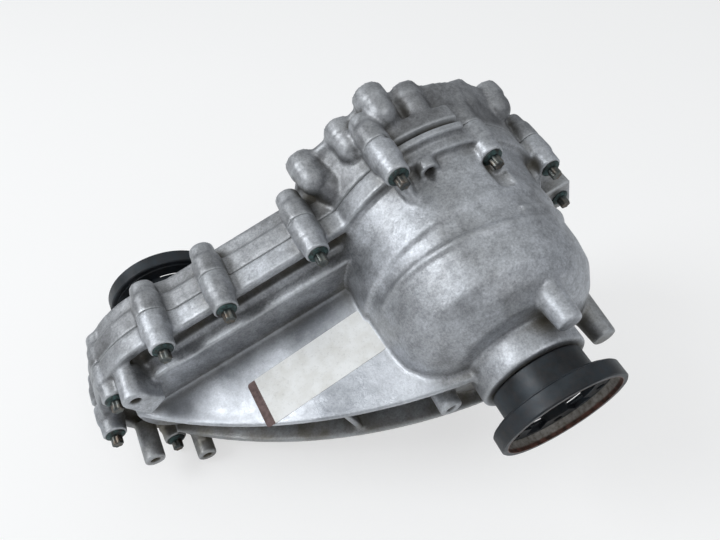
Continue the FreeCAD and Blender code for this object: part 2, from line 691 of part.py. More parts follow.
def outer_gear(count, phase, front, back):
    """External spur gear blank with straight-flanked teeth."""
    size = number("gear_module")
    pitch_radius = size * count / 2
    return prism(teeth_outline(count, pitch_radius - 1.2 * size, pitch_radius + 0.85 * size, 0.34, 0.11, phase),
                 front, back)


def sun_gear():
    """Sun gear with the hollow shaft that carries the drive sprocket."""
    front = number("gear_front - ring_margin + 1")
    back = number("gear_back + 0.5")
    gear = outer_gear(int(number("sun_teeth")), 0.0, front, back)
    journal = pillar(number("drive_journal"), number("drive_bearing_front + 1"), front)
    shoulder = pillar(number("drive_journal + 3"), number("chain_end"), number("chain_end + 5"))
    bore = pillar(number("input_radius + bush_wall + running_gap"), 0, back + 1)
    return shape_part("sun_gear", gear.fuse([journal, shoulder]).removeSplitter().cut(bore))


def planet_place(index):
    return polar(number("planet_orbit"), index * 360.0 / number("planet_count"))


def planet_gear(index):
    """Planet gear, meshed tooth to gap with both the sun gear and the ring gear."""
    across, height = planet_place(index)
    half_pitch = 180.0 / number("planet_teeth")
    phase = half_pitch if index % 2 == 0 else 0.0
    gear = outer_gear(int(number("planet_teeth")), phase, number("gear_front"), number("gear_back"))
    gear = gear.cut(pillar(number("pin_radius + bush_wall + running_gap"), 0, number("gear_back + 1")))
    gear.translate(FreeCAD.Vector(across, 0, height))
    return shape_part("planet_gear_%d" % (index + 1), gear)


def ring_gear():
    """Internal gear around the planets."""
    size = number("gear_module")
    pitch_radius = number("ring_pitch")
    count = int(round(2 * pitch_radius / size))
    front = number("gear_front - ring_margin")
    back = number("gear_back + ring_margin")
    space = prism(teeth_outline(count, pitch_radius + 1.2 * size, pitch_radius - 0.85 * size, 0.34, 0.11, 0.0),
                  front - 1, back + 1)
    return shape_part("ring_gear", pillar(number("ring_outer"), front, back).cut(space))


def planet_group(name, shape_at):
    """One solid at each planet place."""
    return shape_part(name, Part.makeCompound([shape_at(*planet_place(index))
                                               for index in range(int(number("planet_count")))]))


def planet_pins():
    def pin(across, height):
        return pillar(number("pin_radius"), number("carrier_front"), number("carrier_back"), across, height)
    return planet_group("planet_pins", pin)


def planet_bushes():
    def bush(across, height):
        outer = pillar(number("pin_radius + bush_wall"), number("gear_front"), number("gear_back"), across, height)
        return outer.cut(pillar(number("pin_radius + running_gap"), 0, number("gear_back + 1"), across, height))
    return planet_group("planet_bushes", bush)


def carrier_front_plate():
    """Front carrier plate with the pillars that space the two plates."""
    front = number("carrier_front")
    plate_back = front + number("carrier_plate")
    shape = pillar(number("carrier_radius"), front, plate_back)
    step = 360.0 / number("planet_count")
    pillars = [pillar(number("pillar_radius"), front, number("carrier_back - carrier_plate"),
                      *polar(number("planet_orbit"), step * (index + 0.5)))
               for index in range(int(number("planet_count")))]
    shape = shape.fuse(pillars).removeSplitter()
    shape = shape.cut(pillar(number("drive_journal + 2"), 0, plate_back + 1))
    for index in range(int(number("planet_count"))):
        shape = shape.cut(pillar(number("pin_radius + 0.01"), 0, plate_back + 1, *planet_place(index)))
    return shape_part("carrier_front_plate", shape)


def carrier_rear_plate():
    front = number("carrier_back - carrier_plate")
    back = number("carrier_back")
    shape = pillar(number("carrier_radius"), front, back)
    shape = shape.cut(pillar(number("input_radius + 0.01"), front - 1, back + 1))
    for index in range(int(number("planet_count"))):
        shape = shape.cut(pillar(number("pin_radius + 0.01"), front - 1, back + 1, *planet_place(index)))
    return shape_part("carrier_rear_plate", shape)


def chain_radius():
    """Pitch radius of a sprocket."""
    return number("chain_pitch") / (2 * math.sin(math.pi / number("sprocket_teeth")))


def sprocket(name, phase, axis, bore):
    front = number("chain_depth + 1")
    back = number("chain_end - 1")
    radius = chain_radius()
    count = int(number("sprocket_teeth"))
    corners = teeth_outline(count, radius - number("chain_tooth") - 1, radius + 0.2, 0.33, 0.14, phase)
    shape = prism(corners, front, back)
    groove_outer = pillar(radius - 11, front - 1, front + 6)
    groove = groove_outer.cut(pillar(number(bore) + 6, front - 2, front + 7))
    return shape_part(name, shape.cut([pillar(number(bore) + 0.01, front - 1, back + 1), groove]), axis)


def chain_point(along, outward):
    """Point of the chain loop, a number of pitches along it and a distance off its pitch line."""
    radius = chain_radius()
    teeth = number("sprocket_teeth")
    distance = number("shaft_distance")
    span = distance / number("chain_pitch")
    quarter = teeth / 4
    along = (along + quarter) % (2 * span + teeth)
    if along < 2 * quarter:
        return polar(radius + outward, (along - quarter) * 360 / teeth)
    along -= 2 * quarter
    if along < span:
        return -along * number("chain_pitch"), radius + outward
    along -= span
    if along < 2 * quarter:
        across, height = polar(radius + outward, 90 + along * 360 / teeth)
        return across - distance, height
    along -= 2 * quarter
    return along * number("chain_pitch") - distance, -radius - outward


def chain():
    """Silent chain as one loop: a smooth back and a tooth on each link."""
    front = number("chain_depth")
    back = number("chain_end")
    radius = chain_radius() + number("chain_back")
    distance = number("shaft_distance")
    outside = pillar(radius, front, back).fuse(pillar(radius, front, back, -distance))
    band = Part.makeBox(distance, back - front, 2 * radius, FreeCAD.Vector(-distance, -back, -radius))
    outside = outside.fuse(band).removeSplitter()
    corners = []
    for link in range(int(number("chain_links"))):
        middle = link + 0.5
        corners.append(chain_point(middle - 0.30, 0.7))
        corners.append(chain_point(middle - 0.13, -number("chain_tooth")))
        corners.append(chain_point(middle + 0.13, -number("chain_tooth")))
        corners.append(chain_point(middle + 0.30, 0.7))
    return shape_part("drive_chain", outside.cut(prism(corners, front - 1, back + 1)))


# ---------------------------------------------------------------- bearings and seals
def rollers(name, axis, inner, outer, front, back):
    """Cylindrical rollers between two ring radii."""
    radius = (number(outer) - number(inner)) / 2 - number("roller_play")
    orbit = (number(outer) + number(inner)) / 2
    count = int(number("roller_count"))
    solids = [pillar(radius, number(front) + 2, number(back) - 2, *polar(orbit, index * 360.0 / count))
              for index in range(count)]
    return shape_part(name, Part.makeCompound(solids), axis)


def bearing(name, axis, bore, outer, wall, front, back):
    """Roller bearing as its outer ring, rollers and inner ring."""
    race = "(%s) + (%s)" % (bore, wall)
    track = "(%s) - (%s)" % (outer, wall)
    finish(ring(name + "_outer_ring", track, outer, front, back, axis), name + "_outer_ring")
    finish(ring(name + "_inner_ring", bore, race, front, back, axis), name + "_inner_ring")
    rollers(name + "_rollers", axis, race, track, front, back)


def seal(name, axis, lip, outer, front, back):
    """Shaft seal with a stiff shell and a thin lip."""
    shell = "(%s) - 3" % outer
    reach = "(%s) + running_gap" % lip
    return finish(turned(name, [
        (outer, front), (outer, back), (reach, back), (reach, "(%s) - 3" % back),
        (shell, "(%s) - 3" % back), (shell, front),
    ], axis), name)


# ---------------------------------------------------------------- shafts and flanges
def output_flange(name, axis, station):
    """Dished output flange: rim, windowed web, drum and seal sleeve."""
    body = turned(name, [
        ("output_rim_radius - 1", station("0")),
        ("output_rim_radius", station("1")),
        ("output_rim_radius", station("output_rim_width - 1")),
        ("output_rim_radius - 1", station("output_rim_width")),
        ("drum_radius", station("output_rim_width")),
        ("drum_radius", station("drum_length")),
        ("sleeve_radius", station("drum_length")),
        ("sleeve_radius", station("drum_length + flange_gap + seal_zone")),
        ("spline_radius", station("drum_length + flange_gap + seal_zone")),
        ("spline_radius", station("drum_length - drum_floor")),
        ("drum_radius - drum_wall", station("drum_length - drum_floor")),
        ("drum_radius - drum_wall", station("output_rim_width - output_web")),
        ("output_rim_radius - output_rim_wall", station("output_rim_width - output_web")),
        ("output_rim_radius - output_rim_wall", station("0")),
    ], axis)
    doc.recompute()
    solid_volume = body.Shape.Volume
    start = station("window_depth") if axis == "front" else station("output_rim_width - output_web - 1")
    window = body.newObject("Sketcher::SketchObject", name + "_window")
    window.AttachmentSupport = (plane_of(body, "XZ_Plane"), [""])
    window.MapMode = "FlatFace"
    window.setExpression("AttachmentOffset.Base.z", expr(start))
    inside = "drum_radius - drum_wall - 2"
    outside = "output_rim_radius - output_rim_wall - 2.5"
    side = "window_width / 2"
    draw(window, [(inside, "-(%s)" % side), (outside, "-(%s)" % side), (outside, side), (inside, side)])
    pocket = body.newObject("PartDesign::Pocket", name + "_window_cut")
    pocket.Profile = window
    pocket.setExpression("Length", expr("window_depth - output_rim_width + output_web + 1"))
    hole = body.newObject("Sketcher::SketchObject", name + "_hole")
    hole.AttachmentSupport = (plane_of(body, "XZ_Plane"), [""])
    hole.MapMode = "FlatFace"
    hole_start = "output_rim_width + 1" if axis == "front" else "output_rim_width - output_web - 1"
    hole.setExpression("AttachmentOffset.Base.z", expr(station(hole_start)))
    across, height = polar(number("output_hole_circle"), 180.0 / number("window_count"))
    centre = FreeCAD.Vector(across, height, 0)
    circle = hole.addGeometry(Part.Circle(centre, FreeCAD.Vector(0, 0, 1), number("output_hole_radius")), False)
    size = hole.addConstraint(Sketcher.Constraint("Radius", circle, number("output_hole_radius")))
    hole.setExpression("Constraints[%d]" % size, expr("output_hole_radius"))
    turn = "180 / window_count"
    for kind, rule in (("DistanceX", "output_hole_circle * cos(%s)" % turn),
                       ("DistanceY", "output_hole_circle * sin(%s)" % turn)):
        place = hole.addConstraint(Sketcher.Constraint(kind, -1, 1, circle, 3, number(rule)))
        hole.setExpression("Constraints[%d]" % place, expr(rule))
    drilled = body.newObject("PartDesign::Pocket", name + "_hole_cut")
    drilled.Profile = hole
    drilled.setExpression("Length", expr("output_web + 2"))
    pattern = body.newObject("PartDesign::PolarPattern", name + "_pattern")
    pattern.Originals = [pocket, drilled]
    pattern.Axis = (plane_of(body, "Y_Axis"), [""])
    pattern.Angle = 360
    pattern.setExpression("Occurrences", expr("window_count"))
    body.Tip = pattern
    doc.recompute()
    if body.Shape.Volume > solid_volume - 1000:
        raise RuntimeError("flange windows cut nothing: " + name)
    return finish(body, name)


def flange_nut(name, axis, front, back):
    """Twelve-point collar nut on the shaft end."""
    corners = []
    for corner in range(12):
        radius = number("nut_radius") if corner % 2 == 0 else number("nut_radius") * 0.9
        corners.append(polar(radius, 30 * corner))
    shape = prism(corners, number(front), number(back))
    bore = pillar(number("thread_radius + thread_gap"), number(front) - 1, number(back) + 1)
    return shape_part(name, shape.cut(bore), axis)


def rear_station(distance):
    return "rear_face_depth - (%s)" % distance


def front_station(distance):
    return "(%s) - front_face_height" % distance


rear_case()
front_case()
case_bolts()
dowel_sleeves()
casing_plug("fill_plug", 32)
casing_plug("drain_plug", -56)

# Rear output: flange, nut, seal, bearing, shaft and the drum of the ring gear.
output_flange("rear_output_flange", "main", rear_station)
flange_nut("rear_flange_nut", "main", rear_station("drum_length - drum_floor"),
           rear_station("drum_length - drum_floor - nut_height"))
seal("rear_shaft_seal", "main", "sleeve_radius", "seal_radius", "rear_nose_end - seal_width", "rear_nose_end - 0.3")
bearing("rear_bearing", "main", "bearing_bore", "bearing_outer", "ring_wall", "rear_bearing_front",
        "rear_bearing_back")
finish(turned("rear_output_shaft", [
    ("pilot_radius + bush_wall", "hub_front"),
    ("bearing_bore - 0.02", "hub_front"),
    ("bearing_bore - 0.02", "rear_bearing_back"),
    ("spline_radius - 0.02", "rear_bearing_back"),
    ("spline_radius - 0.02", rear_station("drum_length - drum_floor + 1")),
    ("thread_radius", rear_station("drum_length - drum_floor + 1")),
    ("thread_radius", rear_station("drum_length - drum_floor - nut_height - 3")),
    ("0", rear_station("drum_length - drum_floor - nut_height - 3")),
    ("0", "hub_front + pilot_length + 2"),
    ("pilot_radius + bush_wall", "hub_front + pilot_length + 2"),
]), "rear_output_shaft")
finish(turned("ring_gear_drum", [
    ("ring_outer + hub_wall", "gear_front - ring_margin - 4"),
    ("ring_outer + hub_wall", "hub_back"),
    ("bearing_bore + ring_wall", "hub_back"),
    ("bearing_bore + ring_wall", "rear_bearing_front"),
    ("bearing_bore", "rear_bearing_front"),
    ("bearing_bore", "hub_front"),
    ("ring_outer - 6", "hub_front"),
    ("ring_outer - 6", "gear_back + ring_margin"),
    ("ring_outer + 0.02", "gear_back + ring_margin"),
    ("ring_outer + 0.02", "gear_front - ring_margin"),
    ("ring_outer + 2", "gear_front - ring_margin"),
    ("ring_outer + 2", "gear_front - ring_margin - 2"),
    ("ring_outer + 0.02", "gear_front - ring_margin - 2"),
    ("ring_outer + 0.02", "gear_front - ring_margin - 4"),
]), "ring_gear_drum")
finish(ring("ring_gear_circlip", "ring_outer - 3", "ring_outer + 1.8", "gear_front - ring_margin - 1.9",
            "gear_front - ring_margin - 0.1"), "ring_gear_circlip")
finish(ring("pilot_bush", "pilot_radius + running_gap", "pilot_radius + bush_wall - 0.01", "hub_front + 1",
            "hub_front + pilot_length"), "pilot_bush")
ring_gear()

# Input: shaft, carrier and planets.
finish(turned("input_shaft", [
    ("input_radius", "input_front"),
    ("input_radius", "carrier_back"),
    ("pilot_radius", "carrier_back"),
    ("pilot_radius", "hub_front + pilot_length"),
    ("0", "hub_front + pilot_length"),
    ("0", "input_front + input_bore_depth"),
    ("input_bore", "input_front + input_bore_depth"),
    ("input_bore", "input_front + 2"),
    ("input_bore + 2", "input_front"),
]), "input_shaft")
carrier_front_plate()
carrier_rear_plate()
planet_pins()
planet_bushes()
for index in range(int(number("planet_count"))):
    planet_gear(index)

# Front drive: sun gear, sprocket and their bearing in the bulkhead.
sun_gear()
sprocket("drive_sprocket", 0.0, "main", "drive_journal")
bearing("drive_bearing", "main", "drive_journal", "drive_bearing_outer", "4.5", "drive_bearing_front",
        "drive_bearing_front + drive_bearing_width")
seal("input_shaft_seal", "main", "input_radius", "input_seal_radius", "bulkhead_front + 0.3",
     "bulkhead_front + input_seal_width")
for name, front in (("front_input_bush", "28"), ("rear_input_bush", "gear_front - 14")):
    finish(ring(name, "input_radius + running_gap", "input_radius + bush_wall + 0.02", front, front + " + 16"), name)

# Front output: chain, sprocket, shaft, bearings, seal, flange and nut.
chain()
sprocket("driven_sprocket", 180.0, "front", "bearing_bore + 2")
finish(turned("front_output_shaft", [
    ("thread_radius", front_station("drum_length - drum_floor - nut_height - 3")),
    ("thread_radius", front_station("drum_length - drum_floor + 1")),
    ("spline_radius - 0.02", front_station("drum_length - drum_floor + 1")),
    ("spline_radius - 0.02", "front_bearing_front"),
    ("bearing_bore - 0.02", "front_bearing_front"),
    ("bearing_bore - 0.02", "front_bearing_back"),
    ("bearing_bore + 2", "front_bearing_back"),
    ("bearing_bore + 2", "tail_bearing_front - 1"),
    ("tail_journal", "tail_bearing_front - 1"),
    ("tail_journal", "chain_rear - 0.5"),
    ("0", "chain_rear - 0.5"),
    ("0", front_station("drum_length - drum_floor - nut_height - 3")),
], "front"), "front_output_shaft")
bearing("front_bearing", "front", "bearing_bore", "bearing_outer", "ring_wall", "front_bearing_front",
        "front_bearing_back")
finish(ring("tail_bearing_ring", "tail_bearing_outer - tail_ring", "tail_bearing_outer", "tail_bearing_front",
            "chain_rear", "front"), "tail_bearing_ring")
rollers("tail_bearing_rollers", "front", "tail_journal", "tail_bearing_outer - tail_ring", "tail_bearing_front",
        "chain_rear")
seal("front_shaft_seal", "front", "sleeve_radius", "seal_radius", "front_nose_end + 0.3",
     "front_nose_end + seal_width")
output_flange("front_output_flange", "front", front_station)
flange_nut("front_flange_nut", "front", front_station("drum_length - drum_floor - nut_height"),
           front_station("drum_length - drum_floor"))

# ---------------------------------------------------------------- check and write
doc.recompute()
for piece in doc.Objects:
    if "Invalid" in piece.State or "Error" in piece.State:
        raise RuntimeError("failed: %s %s" % (piece.Name, piece.State))
for piece in finished:
    if piece.Shape.isNull() or not piece.Shape.isValid():
        raise RuntimeError("bad shape: " + piece.Label)
for piece in finished:
    piece.Shape.exportStep("parts/%s.step" % piece.Label)
    print("%-26s %3d solids  %10.0f mm3" % (piece.Label, len(piece.Shape.Solids), piece.Shape.Volume))
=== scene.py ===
import json
import math

import bmesh
import bpy
import numpy as np
from mathutils import Matrix, Vector


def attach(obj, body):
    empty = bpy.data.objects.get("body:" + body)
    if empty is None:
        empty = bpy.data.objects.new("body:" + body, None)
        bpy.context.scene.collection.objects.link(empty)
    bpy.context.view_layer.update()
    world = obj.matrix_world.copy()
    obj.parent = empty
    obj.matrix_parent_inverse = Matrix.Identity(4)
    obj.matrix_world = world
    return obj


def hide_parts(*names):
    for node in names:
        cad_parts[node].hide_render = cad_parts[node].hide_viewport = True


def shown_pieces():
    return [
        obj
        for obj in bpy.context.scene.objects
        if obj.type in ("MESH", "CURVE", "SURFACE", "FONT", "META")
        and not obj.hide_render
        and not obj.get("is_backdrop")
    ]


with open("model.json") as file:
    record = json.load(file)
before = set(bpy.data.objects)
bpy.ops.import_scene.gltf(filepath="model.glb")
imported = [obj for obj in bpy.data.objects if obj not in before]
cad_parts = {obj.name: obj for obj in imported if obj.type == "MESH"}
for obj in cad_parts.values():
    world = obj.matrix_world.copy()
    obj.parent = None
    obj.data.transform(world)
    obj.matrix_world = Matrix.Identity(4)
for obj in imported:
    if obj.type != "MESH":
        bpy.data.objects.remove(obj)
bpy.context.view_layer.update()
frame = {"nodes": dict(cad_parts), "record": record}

# ---------------------------------------------------------------- sizes, in metres
MM = 0.001
LIE = math.radians(20)          # the front output lies below the main axis by this angle
MOUNT_FACE = 0.0                # depths are measured rearwards from the mounting face
SPLIT = 50 * MM                 # joint plane of the two halves
BOLT_SEAT_STEP = 33 * MM        # bolt seats behind the joint plane
BACKWARD = Vector((0, -1, 0))

# joint slots for a pry bar: centre across, first and last angle, outside radius
SHAFT_DISTANCE = 252.4 * MM     # from the main axis to the front output
PRY_SLOTS = ((-SHAFT_DISTANCE, 134, 176, 88 * MM), (0.0, 60, 93, 114 * MM))
SLOT_REACH = 7 * MM
SLOT_HALF_WIDTH = 2.2 * MM

# mounting flange of the front half
LOBE_BALL = 12.2 * MM           # domed end behind a tapped hole
LOBE_BALL_DEPTH = 24 * MM
LOBE_BALL_INWARD = 1 * MM
LOBE_ROOT = ((15 * MM, 3 * MM, 13 * MM), (35 * MM, 21 * MM, 14 * MM))   # depth, inward, radius at both ends
LOBE_SPACING = 62 * MM          # neighbouring lobes closer than this share a lip
LIP_RADIUS = 5.5 * MM
LIP_GAP = 11 * MM               # the lip starts this far from the middle of its hole
SKIRT_ARC = (-136, 146, 3)      # first and last angle and step of the wall from the lobes to the joint
# outline of that wall: radius, depth in mm
SKIRT = ((99, 5), (116, 5), (114, 13), (110, 24), (107.5, 36), (107, 48.8), (99, 48.8))

# bolt bosses round the main axis: across, height in mm
MAIN_BOLTS = ((-15, 117), (61, 74), (113, 11), (122, -46), (71, -94), (0, -122))
RIDGE_START = (110, 8 * MM, 6 * MM)     # radius in mm, depth and thickness at the flange
RIDGE_END = (49 * MM, 9.5 * MM)         # depth and thickness at the joint
FIN_START = (0.97, 55 * MM, 11 * MM)    # share of the bolt's radius, depth and thickness at the joint
FIN_END = (93, 92 * MM, 4 * MM)         # radius in mm, depth and thickness where it sinks in the dome

# dome: radius, depth, first and last angle of the lines that the mould leaves
MOULD_LINES = ((88.8 * MM, 139 * MM, 35, 150), (90.0 * MM, 128 * MM, -30, 60))
MOULD_LINE_RADIUS = 4.6 * MM
MOULD_LINE_SWAY = 6 * MM
RIB_FIN = ((34 * MM, 176 * MM, 53 * MM), (16 * MM, 186 * MM, 44 * MM), 8 * MM, 3 * MM)   # two ends, two radii
VENT_FIN = ((9 * MM, 72 * MM, 89 * MM), (6 * MM, 112 * MM, 88 * MM), 5 * MM, 3 * MM)

# skin of the castings
VOXEL = 1.3 * MM
CAST_ROUNDING = 9               # smoothing passes that round the cast edges
CAST_WEIGHT = 0.5
SLOT_WEIGHT = 0.1
MACHINED_WEIGHT = 0.04
MACHINED_BAND = 0.8 * MM        # faces this close to a machined plane stay sharp

# output flanges: axis, depth of the face, +1 when it looks rearwards
FLANGE_FACES = {"rear_output_flange": (Vector((0, 0, 0)), 264.4 * MM, 1),
                "front_output_flange": (Vector((-237.2 * MM, 0, -86.3 * MM)), -38.6 * MM, -1)}
# dark ring behind the flange windows, standing in for the shade seen through them
SHADE_RING_RADII = (39.6 * MM, 50.5 * MM)
SHADE_RING_DEPTHS = (13.4 * MM, 15.4 * MM)  # behind the face
SHADE_RING_SIDES = 96

# casing bolts
BOLT_TOP_TO_SEAT = 10.9 * MM
HEAD_ON_SEAT = 2.2 * MM
HEAD_RADII = (4.15 * MM, 5.0 * MM)      # between the lobes and on them
HEAD_SIDES = 48
HEAD_LAYERS = ((0.97, 0), (1.0, 0.5), (1.0, 7.4), (0.93, 8.2), (0.80, 8.5), (0.55, 8.1))   # scale, rise in mm
# radius, rise in mm
COLLAR = ((0, 0), (7.9, 0), (8.5, 0.4), (8.45, 1.1), (7.2, 1.9), (6.2, 2.4), (5.6, 2.6), (0, 2.6))
COLLAR_SIDES = 36
SHANK_SIDES = 20

# bare label and its glue strip on the web, in mm: corners across and in depth, corner radii, height range
WEB_TOP = 20 * MM
LABEL = (((-201, 112.6), (-91, 106.6), (-88.5, 150.3), (-198.6, 156.4)),
         (0.5, 5, 5, 0.5), (0.03, 0.28))
GLUE_STRIP = (((-208.4, 113.2), (-200.4, 112.6), (-198, 156.4), (-206.2, 156.8)),
              (3, 0.5, 0.5, 3), (0.02, 0.18))

# camera and lamps
EYE = Vector((-0.2319, -0.3542, 0.4371))
EYE_RIGHT = Vector((0.8971, -0.4406, 0.0326))
EYE_UP = Vector((0.3409, 0.7372, 0.5835))
EYE_BACK = Vector((-0.2811, -0.5123, 0.8115))
LENS_MM = 31.1
SENSOR_MM = 36.0
LOOK_DOWN = math.radians(40)    # angle between the view and the floor
LAMP_AIM = Vector((-0.08, -0.12, -0.03))
LAMP_DISTANCE = 2.9
LAMPS = (                       # name, direction, size, power, colour
    ("left", Vector((-0.71, 0.31, 0.63)), 1.5, 40, (0.95, 0.98, 1.0)),
    ("above_camera", Vector((0.085, -0.47, 0.874)), 1.2, 10, (0.97, 0.985, 1.0)),
)
FLOOR_SIZE = 14
FLOOR_GLOW = 0.6                # share of plain white that the camera sees in the floor

nodes = frame["nodes"]


def case_point(across, depth, height):
    """Point given in the casing's frame: across and height about the main axis, depth behind the flange."""
    return Vector((across * math.cos(LIE) - height * math.sin(LIE), -depth,
                   across * math.sin(LIE) + height * math.cos(LIE)))


def casing_coords(points):
    """Casing frame (across, depth, height) of row frame points."""
    across = points[:, 0] * math.cos(LIE) + points[:, 2] * math.sin(LIE)
    height = -points[:, 0] * math.sin(LIE) + points[:, 2] * math.cos(LIE)
    return np.column_stack([across, -points[:, 1], height])


# ---------------------------------------------------------------- mesh tools
def new_object(name, mesh, body):
    piece = bpy.data.objects.new(name, mesh)
    bpy.context.scene.collection.objects.link(piece)
    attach(piece, body)
    return piece


def vertices_of(mesh):
    points = np.empty(len(mesh.vertices) * 3)
    mesh.vertices.foreach_get("co", points)
    return points.reshape(-1, 3)


def set_vertices(mesh, points):
    mesh.vertices.foreach_set("co", points.reshape(-1))
    mesh.update()


def smooth_shading(mesh, angle=None):
    mesh.polygons.foreach_set("use_smooth", [True] * len(mesh.polygons))
    if angle:
        mesh.set_sharp_from_angle(angle=math.radians(angle))


def relaxed(mesh, passes, weight):
    """Moves every vertex towards its neighbours' middle, as far as its weight allows."""
    points = vertices_of(mesh)
    edges = np.empty(len(mesh.edges) * 2, dtype=np.int64)
    mesh.edges.foreach_get("vertices", edges)
    first, second = edges.reshape(-1, 2).T
    count = np.bincount(first, minlength=len(points)) + np.bincount(second, minlength=len(points))
    count = np.maximum(count, 1)
    for _ in range(passes):
        middle = np.column_stack([
            np.bincount(first, points[second, axis], len(points))
            + np.bincount(second, points[first, axis], len(points)) for axis in range(3)])
        points = points + (middle / count[:, None] - points) * weight[:, None]
    set_vertices(mesh, points)


def finished_mesh(bm, name):
    bmesh.ops.recalc_face_normals(bm, faces=bm.faces)
    mesh = bpy.data.meshes.new(name)
    bm.to_mesh(mesh)
    bm.free()
    return mesh


def stitched(bm, loops):
    """Joins each closed loop of corners to the next with quads."""
    for here, following in zip(loops, loops[1:]):
        for index in range(len(here)):
            after = (index + 1) % len(here)
            bm.faces.new((here[index], here[after], following[after], following[index]))


def remeshed(name, source, voxel):
    """Closed even mesh around the source mesh, as one skin."""
    carrier = bpy.data.objects.new(name, source)
    bpy.context.scene.collection.objects.link(carrier)
    skin = carrier.modifiers.new("skin", "REMESH")
    skin.mode = "VOXEL"
    skin.voxel_size = voxel
    skin.adaptivity = 0
    shown = carrier.evaluated_get(bpy.context.evaluated_depsgraph_get())
    mesh = bpy.data.meshes.new_from_object(shown)
    bpy.data.objects.remove(carrier)
    return mesh


def groups_of(mesh):
    """Vertex numbers of each separate solid in a mesh."""
    parent = list(range(len(mesh.vertices)))

    def root(item):
        while parent[item] != item:
            parent[item] = parent[parent[item]]
            item = parent[item]
        return item

    place_of = {}
    for vertex in mesh.vertices:
        key = tuple(round(value * 1e5) for value in vertex.co)
        first = place_of.setdefault(key, vertex.index)
        parent[root(vertex.index)] = root(first)
    for edge in mesh.edges:
        parent[root(edge.vertices[0])] = root(edge.vertices[1])
    groups = {}
    for index in range(len(parent)):
        groups.setdefault(root(index), []).append(index)
    return list(groups.values())


# ---------------------------------------------------------------- materials
def material(name):
    made = bpy.data.materials.new(name)
    made.use_nodes = True
    return made, made.node_tree, made.node_tree.nodes["Principled BSDF"]


def node(tree, kind, **settings):
    made = tree.nodes.new(kind)
    for key, value in settings.items():
        setattr(made, key, value)
    return made


def noise(tree, coords, scale, detail=4.0, rough=0.6):
    made = node(tree, "ShaderNodeTexNoise")
    made.inputs["Scale"].default_value = scale
    made.inputs["Detail"].default_value = detail
    made.inputs["Roughness"].default_value = rough
    tree.links.new(coords, made.inputs["Vector"])
    return made.outputs["Fac"]


def ramp(tree, value, stops):
    """Colour ramp; stops are (position, colour or grey)."""
    made = node(tree, "ShaderNodeValToRGB")
    while len(made.color_ramp.elements) < len(stops):
        made.color_ramp.elements.new(0.5)
    for element, (position, colour) in zip(made.color_ramp.elements, stops):
        element.position = position
        grey = (colour, colour, colour) if isinstance(colour, (int, float)) else colour
        element.color = (*grey, 1)
    tree.links.new(value, made.inputs["Fac"])
    return made.outputs["Color"]


def blended(tree, share, first, second, kind="MIX"):
    """Mix of two colours or sockets."""
    made = node(tree, "ShaderNodeMix", data_type="RGBA", blend_type=kind)
    if isinstance(share, (int, float)):
        made.inputs["Factor"].default_value = share
    else:
        tree.links.new(share, made.inputs["Factor"])
    for socket, value in ((made.inputs[6], first), (made.inputs[7], second)):
        if isinstance(value, tuple):
            socket.default_value = (*value, 1)
        else:
            tree.links.new(value, socket)
    return made.outputs[2]


def maths(tree, kind, first, second=None):
    made = node(tree, "ShaderNodeMath", operation=kind, use_clamp=kind in ("MULTIPLY", "ADD"))
    for socket, value in zip(made.inputs, (first, second)):
        if value is None:
            continue
        if isinstance(value, (int, float)):
            socket.default_value = value
        else:
            tree.links.new(value, socket)
    return made.outputs[0]


def object_coords(tree):
    return node(tree, "ShaderNodeTexCoord").outputs["Object"]


def casing_axes(tree, coords):
    """Across and height in the casing's frame as two sockets."""
    turned = node(tree, "ShaderNodeMapping")
    turned.inputs["Rotation"].default_value = (0, LIE, 0)
    tree.links.new(coords, turned.inputs["Vector"])
    parts = node(tree, "ShaderNodeSeparateXYZ")
    tree.links.new(turned.outputs[0], parts.inputs[0])
    return parts.outputs[0], parts.outputs[2]


def between(tree, value, low, high):
    """Soft step from 0 at the low value to 1 at the high one; the low value may be the larger."""
    made = node(tree, "ShaderNodeMapRange", interpolation_type="SMOOTHSTEP")
    made.inputs["From Min"].default_value = low
    made.inputs["From Max"].default_value = high
    tree.links.new(value, made.inputs["Value"])
    return made.outputs["Result"]


def bump(tree, shader, height, strength, distance, bevel=0.0):
    made = node(tree, "ShaderNodeBump")
    made.inputs["Strength"].default_value = strength
    made.inputs["Distance"].default_value = distance
    tree.links.new(height, made.inputs["Height"])
    if bevel:
        edge = node(tree, "ShaderNodeBevel", samples=6)
        edge.inputs["Radius"].default_value = bevel
        tree.links.new(edge.outputs["Normal"], made.inputs["Normal"])
    tree.links.new(made.outputs["Normal"], shader.inputs["Normal"])


def occlusion(tree, reach):
    made = node(tree, "ShaderNodeAmbientOcclusion", samples=8)
    made.inputs["Distance"].default_value = reach
    return made.outputs["AO"]


